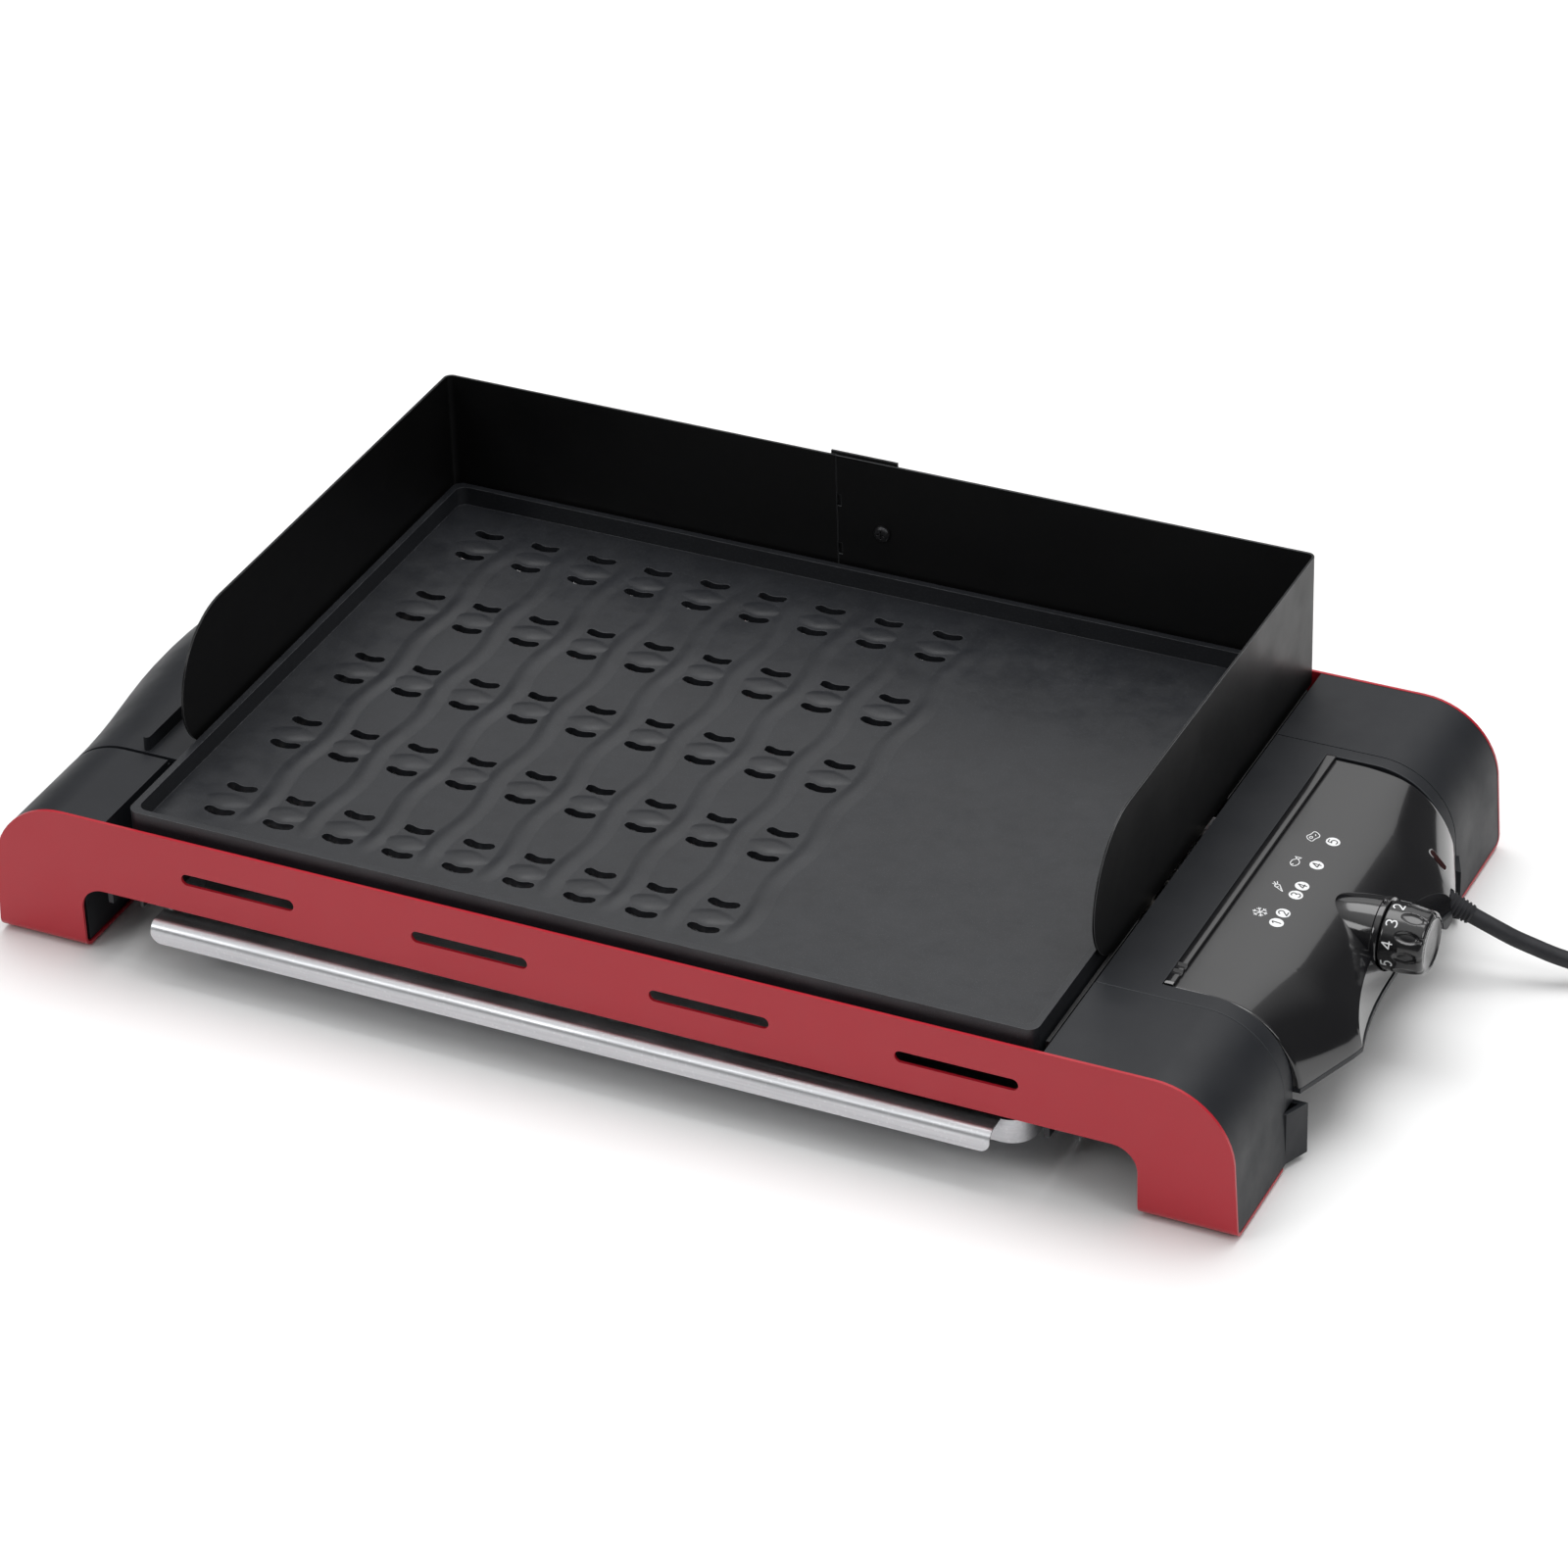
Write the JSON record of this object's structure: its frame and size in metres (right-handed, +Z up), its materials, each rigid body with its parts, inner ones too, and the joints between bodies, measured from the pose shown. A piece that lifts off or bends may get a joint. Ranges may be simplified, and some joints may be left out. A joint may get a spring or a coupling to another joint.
{
  "type": "electric griddle",
  "caption": "Tabletop electric griddle with painted side panels, a slotted cast plate, a lift-off windshield, a slide-out drip tray and a plug-in controller with a dial.",
  "frame": {"origin": "on the tabletop, under the middle of the griddle without its cord", "axes": "+X along the length towards the control knob, +Y towards the windshield at the back, +Z up"},
  "size_m": [0.8024, 0.4025, 0.1386],
  "materials": {
    "painted_red": "satin paint on pressed sheet",
    "moulded_black": "fine matte texture",
    "gloss_black": "high gloss",
    "coated_plate": "die-cast with a speckled dark non-stick coating",
    "shield_black": "satin black paint on thin sheet",
    "tray_metal": "satin",
    "rail_black": "black coated strip",
    "steel": "zinc plated",
    "element_sheath": "dull grey sheath",
    "ceramic": "glazed ceramic",
    "contact_brass": "plain",
    "device_body": "moulded block",
    "lens_red": "clear red",
    "lamp": "small glass lamp",
    "knob_black": "semi gloss",
    "soft_black": "matte",
    "pin_metal": "plated blades"
  },
  "bodies": {
    "base": {"front_panel": "painted_red", "rear_panel": "painted_red", "left_housing": "moulded_black", "right_housing": "moulded_black", "left_grip_cover": "moulded_black", "right_bay_cover": "moulded_black", "left_tray_rail": "rail_black", "right_tray_rail": "rail_black", "rail_screws": "steel", "cover_screws": "steel", "foot_screws": "steel", "rubber_feet": "soft_black", "grill_plate": "coated_plate", "heating_element": "element_sheath", "element_clips": "steel", "clip_screws": "steel", "element_insulators": "ceramic", "terminal_pins": "steel", "terminal_guard": "steel", "guard_screws": "steel", "probe_guide": "steel"},
    "controller": {"controller_top_shell": "gloss_black", "controller_bottom_shell": "moulded_black", "controller_screws": "steel", "thermostat": "device_body", "probe_rod": "steel", "contact_sockets": "contact_brass", "indicator_lens": "lens_red", "indicator_lamp": "lamp", "strain_relief": "soft_black", "power_cord": "soft_black", "cord_coil": "soft_black", "cord_tail": "soft_black", "plug_body": "soft_black", "plug_pins": "pin_metal"},
    "dial": {"knob": "knob_black", "knob_shaft": "steel"},
    "tray": {"drip_tray": "tray_metal"},
    "windshield": {"windshield_left": "shield_black", "windshield_right": "shield_black", "windshield_screw": "steel", "windshield_nut": "steel"}
  },
  "joints": [
    {"name": "controller_pull", "type": "slide", "parent": "base", "child": "controller", "axis": [1, 0, 0], "range_m": [0, 0.07]},
    {"name": "dial_turn", "type": "hinge", "parent": "controller", "child": "dial", "pos_m": [0.30215, 0.0035, 0.055], "axis": [1, 0, 0], "range_deg": [-108, 72]},
    {"name": "tray_slide", "type": "slide", "parent": "base", "child": "tray", "axis": [0, -1, 0], "range_m": [0, 0.3]},
    {"name": "windshield_lift", "type": "slide", "parent": "base", "child": "windshield", "axis": [0, 0, 1], "range_m": [0, 0.08]}
  ]
}
